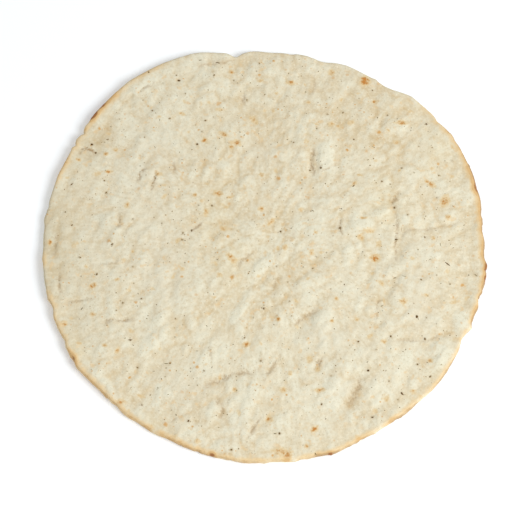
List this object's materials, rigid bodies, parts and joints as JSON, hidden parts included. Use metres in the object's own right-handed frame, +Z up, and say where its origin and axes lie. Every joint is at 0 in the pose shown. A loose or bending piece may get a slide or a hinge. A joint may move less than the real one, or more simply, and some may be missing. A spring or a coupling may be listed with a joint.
{
  "type": "cauliflower pizza crust",
  "caption": "Thin round cauliflower pizza crust, plain and baked pale, with an uneven browned rim and a soft pressed surface, to be topped and baked.",
  "frame": {"origin": "middle of the crust's box, on the plane of its flat underside", "axes": "+Z up out of the top of the crust, +Y to the back, where the two swells of the outline meet at a nick, +X to the right"},
  "size_m": [0.2604, 0.2602, 0.0059],
  "materials": {
    "baked_dough": "matt baked cauliflower dough, pale cream with toasted spots, herb flecks and a golden rim"
  },
  "bodies": {
    "root": {"crust": "baked_dough"}
  },
  "joints": []
}
